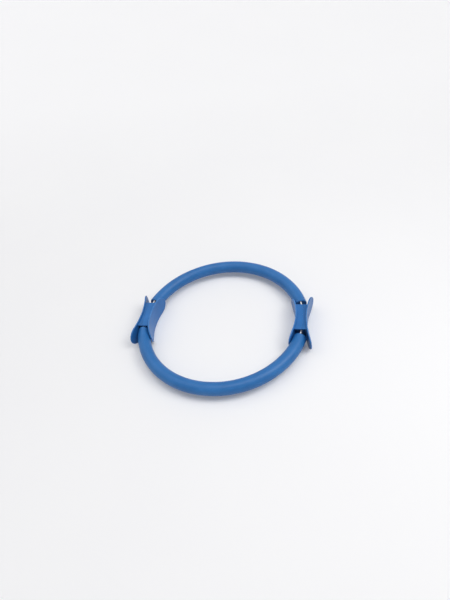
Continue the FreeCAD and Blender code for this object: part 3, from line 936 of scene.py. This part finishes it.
@dataclass
class SpringBand:
    """Flat glass-fibre strip of one half of the hoop, in two quarters cut apart at the middle of
    the half.
    """

    hoop: HoopSizes
    half: Half
    finish: bpy.types.Material

    @property
    def node(self) -> str:
        """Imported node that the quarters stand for."""
        return f"{self.half.word}_spring_band"

    def build_quarter(self, side: Side) -> bpy.types.Object:
        """Quarter of the strip, with its screw hole and rounded end corners.

        Args:
            side: Handle that clamps its end.

        Returns:
            The piece.
        """
        form = bmesh.new()
        form.from_mesh(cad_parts[self.node].data)
        bmesh.ops.remove_doubles(form, verts=form.verts, dist=MERGE_DISTANCE)
        cut = bmesh.ops.bisect_plane(
            form,
            geom=form.verts[:] + form.edges[:] + form.faces[:],
            plane_co=(side.value * SEAM, 0, 0),
            plane_no=(side.value, 0, 0),
            clear_inner=True,
        )
        rim = [item for item in cut["geom_cut"] if isinstance(item, bmesh.types.BMEdge)]
        bmesh.ops.holes_fill(form, edges=rim)
        for face in form.faces:
            face.smooth = True
        for edge in form.edges:
            edge.smooth = len(edge.link_faces) == 2 and edge.calc_face_angle() < SHARP
        mesh = bpy.data.meshes.new(f"{self.half.word}_{side.word}_strip")
        form.to_mesh(mesh)
        form.free()
        mesh.materials.clear()
        mesh.materials.append(self.finish)
        return add_object(mesh.name, mesh)

    def build(self) -> None:
        """Builds both quarters and fits them to the frame."""
        for side in Side:
            piece = self.build_quarter(side)
            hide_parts(self.node)
            self.hoop.bend(piece, side, self.half)
            LOG.info("%s: %d faces", piece.name, len(piece.data.polygons))


@dataclass
class Handle:
    """Moulded handle: an inner and an outer half, closed by two screws."""

    side: Side
    plastics: dict[Pad, bpy.types.Material]
    steel: bpy.types.Material

    def dress(self) -> None:
        """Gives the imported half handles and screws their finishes."""
        for pad in Pad:
            self.cover(f"{self.side.word}_{pad.word}_grip", self.plastics[pad])
        for half in Half:
            self.cover(f"{self.side.word}_{half.word}_screw", self.steel)

    @staticmethod
    def cover(node: str, finish: bpy.types.Material) -> None:
        """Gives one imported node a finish.

        Args:
            node: Name of the node.
            finish: Material to show.
        """
        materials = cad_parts[node].data.materials
        materials.clear()
        materials.append(finish)
        LOG.info("%s: %s", node, finish.name)


@dataclass(frozen=True)
class SoftLight(ABC):
    """Soft light of the studio, and where it stands."""

    name: str
    place: Place

    @abstractmethod
    def light(self) -> bpy.types.Light:
        """The light itself."""

    @abstractmethod
    def back(self) -> Vector:
        """Direction from what is lit to the light."""

    def hang(self) -> None:
        """Puts the light in the scene."""
        item = add_object(self.name, self.light())
        item.location = self.place
        item.rotation_euler = self.back().to_track_quat("Z", "Y").to_euler()


@dataclass(frozen=True)
class SoftSun(SoftLight):
    """Broad far light towards the ring's middle."""

    strength: float
    spread: float

    def light(self) -> bpy.types.Light:
        """The sun, with its strength and its spread.

        Returns:
            The light.
        """
        data = bpy.data.lights.new(self.name, "SUN")
        data.energy = self.strength
        data.angle = self.spread
        return data

    def back(self) -> Vector:
        """Direction from the ring's middle to the light."""
        return Vector(self.place)


@dataclass(frozen=True)
class SoftLamp(SoftLight):
    """Square lamp near the part."""

    aim: Place
    width: float
    power: float

    def light(self) -> bpy.types.Light:
        """The lamp, with its power and its width.

        Returns:
            The light.
        """
        data = bpy.data.lights.new(self.name, "AREA")
        data.energy = self.power
        data.size = self.width
        return data

    def back(self) -> Vector:
        """Direction from the lamp's aim to the lamp."""
        return Vector(self.place) - Vector(self.aim)


@dataclass
class Studio:
    """Pale floor, soft light from above and the camera."""

    floor_finish: bpy.types.Material
    floor_half: float = 8.0
    floor_cells: int = 8
    lights: tuple[SoftLight, ...] = (
        SoftSun("top_light", (0.04, -0.02, 1.0), strength=0.62, spread=math.radians(30)),
        SoftSun("key_light", (0.58, 0.04, 0.8), strength=0.84, spread=math.radians(34)),
        SoftSun("fill_light", (-0.5, 0.16, 0.8), strength=0.36, spread=math.radians(44)),
        SoftLamp("side_lamp", (0.62, -0.08, 0.8), aim=(0.13, -0.12, 0.02), width=0.45, power=1.1),
    )
    sky: Colour = (0.96, 0.965, 1.0)
    sky_strength: float = 0.38
    backdrop_strength: float = 0.9
    camera_place: Place = (0.2119, -0.6244, 0.7411)
    camera_aim: Place = (-0.0038, 0.0614, 0.0224)
    camera_roll: float = math.radians(-12.02)
    camera_lens: float = 27.0
    sensor: float = 36.0

    def build_floor(self) -> None:
        """Lays the floor under the ring."""
        form = bmesh.new()
        bmesh.ops.create_grid(
            form,
            x_segments=self.floor_cells,
            y_segments=self.floor_cells,
            size=self.floor_half,
        )
        mesh = bpy.data.meshes.new("floor")
        form.to_mesh(mesh)
        form.free()
        mesh.materials.append(self.floor_finish)
        add_object("floor", mesh)

    def build_light(self) -> None:
        """Hangs the lights and sets the sky."""
        for light in self.lights:
            light.hang()
        bpy.context.scene.world = self.build_sky()

    def build_sky(self) -> bpy.types.World:
        """World that lights softly, and looks pale where it is seen or mirrored.

        Returns:
            The world.
        """
        world = bpy.data.worlds.new("studio")
        world.use_nodes = True
        nodes, links = world.node_tree.nodes, world.node_tree.links
        background = next(node for node in nodes if node.type == "BACKGROUND")
        background.inputs["Color"].default_value = (*self.sky, 1.0)
        strength = nodes.new("ShaderNodeMapRange")
        links.new(seen_rays(world.node_tree), strength.inputs["Value"])
        strength.inputs["To Min"].default_value = self.sky_strength
        strength.inputs["To Max"].default_value = self.backdrop_strength
        links.new(strength.outputs[0], background.inputs["Strength"])
        return world

    def build_camera(self) -> None:
        """Sets the camera to the photograph's place, aim and roll."""
        data = bpy.data.cameras.new("camera")
        data.lens = self.camera_lens
        data.sensor_width = self.sensor
        camera = add_object("camera", data)
        place = Vector(self.camera_place)
        level = (Vector(self.camera_aim) - place).to_track_quat("-Z", "Y").to_matrix().to_4x4()
        roll = Matrix.Rotation(self.camera_roll, 4, "Z")
        camera.matrix_world = Matrix.Translation(place) @ level @ roll
        bpy.context.scene.camera = camera

    def build(self) -> None:
        """Builds the whole studio."""
        self.build_floor()
        self.build_light()
        self.build_camera()
        bpy.context.scene.view_settings.view_transform = "Standard"
        LOG.info("studio: floor, light and camera")


def main() -> None:
    """Builds and dresses the ring, piece by piece, and sets the studio round it."""
    logging.basicConfig(level=logging.INFO, format="%(name)s %(message)s")
    hoop = HoopSizes.from_frame()
    plastics = {pad: MouldedPlastic.for_pad(pad, hoop.mid_height).material() for pad in Pad}
    skin, cut = FoamSkin().material(), CutFoam().material()
    fibre, steel = GlassFibre().material(), PlatedSteel().material()
    for half in Half:
        FoamSleeve(hoop, half, skin, cut).build()
        SpringBand(hoop, half, fibre).build()
    for side in Side:
        Handle(side, plastics, steel).dress()
    Studio(PaleFloor().material()).build()


if __name__ == "__main__":
    main()
